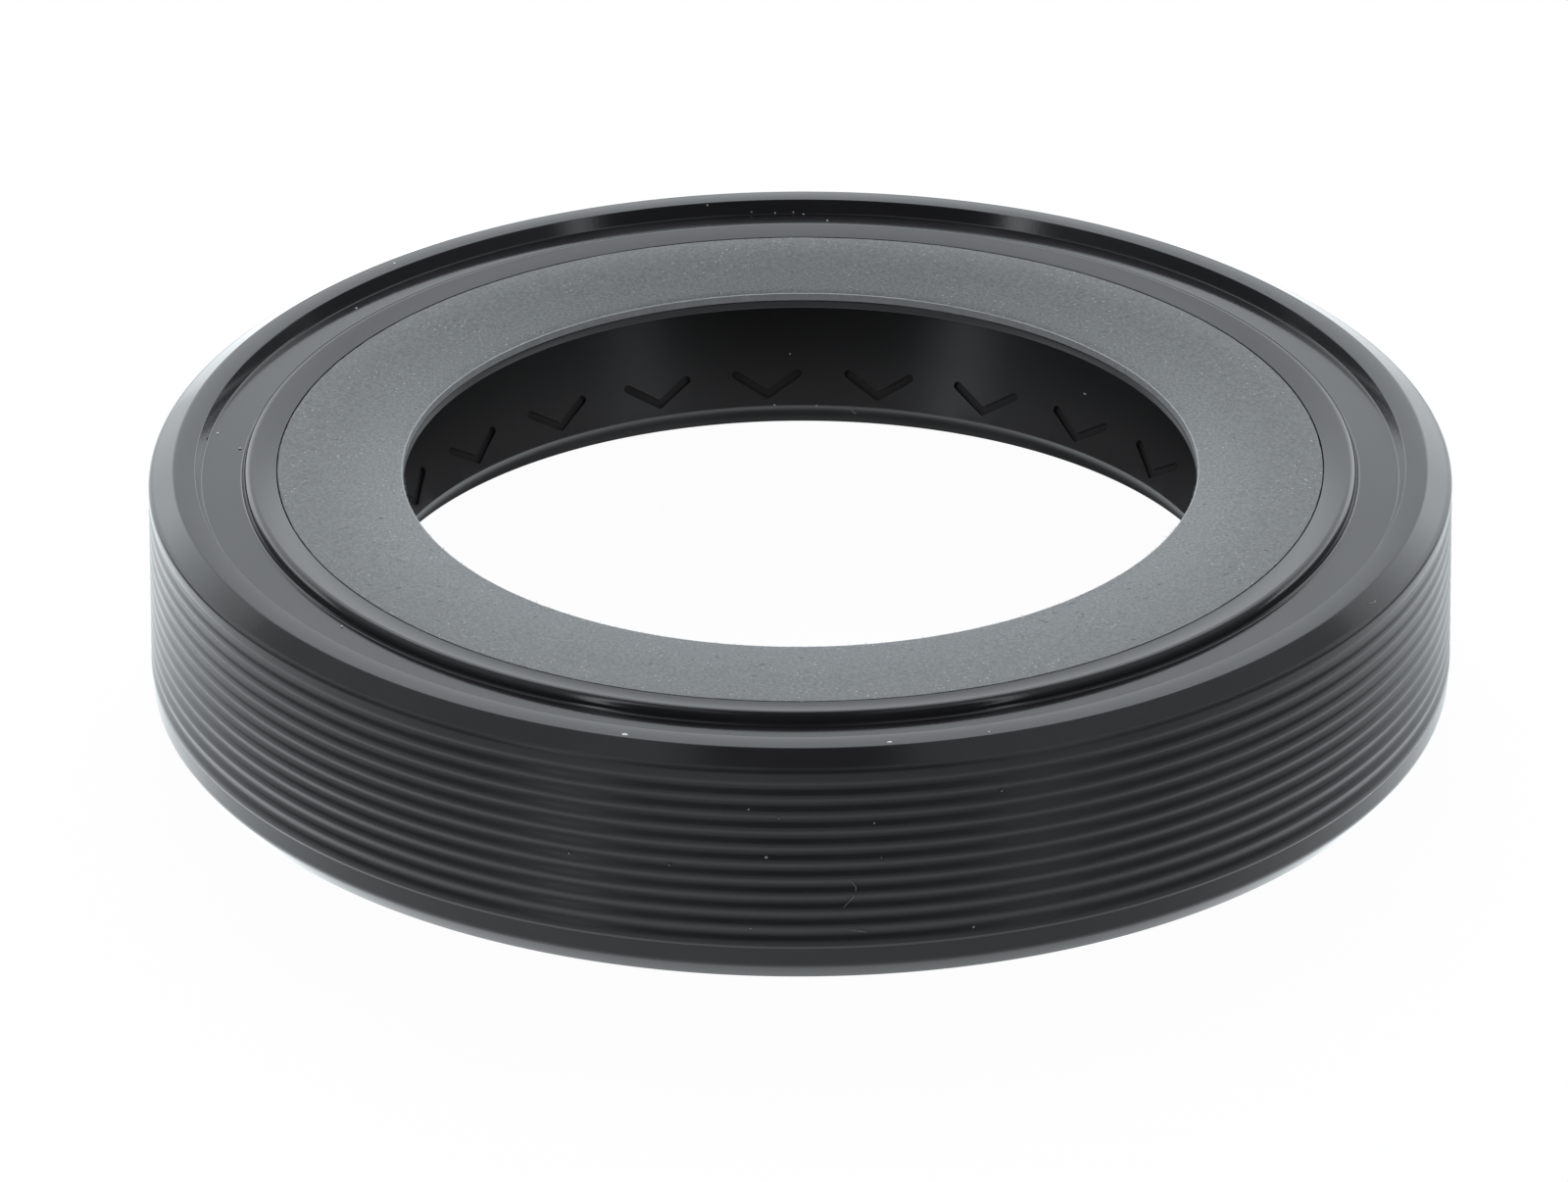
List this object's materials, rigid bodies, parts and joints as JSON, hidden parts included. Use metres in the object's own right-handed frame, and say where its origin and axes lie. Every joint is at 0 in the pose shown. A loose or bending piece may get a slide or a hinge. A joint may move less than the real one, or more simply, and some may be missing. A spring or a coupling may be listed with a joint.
{
  "type": "oil seal",
  "caption": "Round rubber-covered shaft oil seal with a ribbed outside, a recessed air side face, a fabric-faced dust lip and a spring-loaded sealing lip.",
  "frame": {"origin": "centre of the oil side, on the plane that the seal stands on", "axes": "+Z along the shaft's axis, from the oil side to the air side; +X and +Y across it, with -Y towards the picture's camera"},
  "size_m": [0.06, 0.06, 0.0114],
  "materials": {
    "seal_rubber": "smooth moulded nitrile rubber, satin",
    "lip_fabric": "fine matte non-woven fabric, grey",
    "case_steel": "bare pressed sheet steel, dull",
    "spring_steel": "drawn spring wire, bright"
  },
  "bodies": {
    "root": {"seal_body": "seal_rubber", "dust_lip_fabric": "lip_fabric", "steel_case": "case_steel", "garter_spring": "spring_steel"}
  },
  "joints": []
}
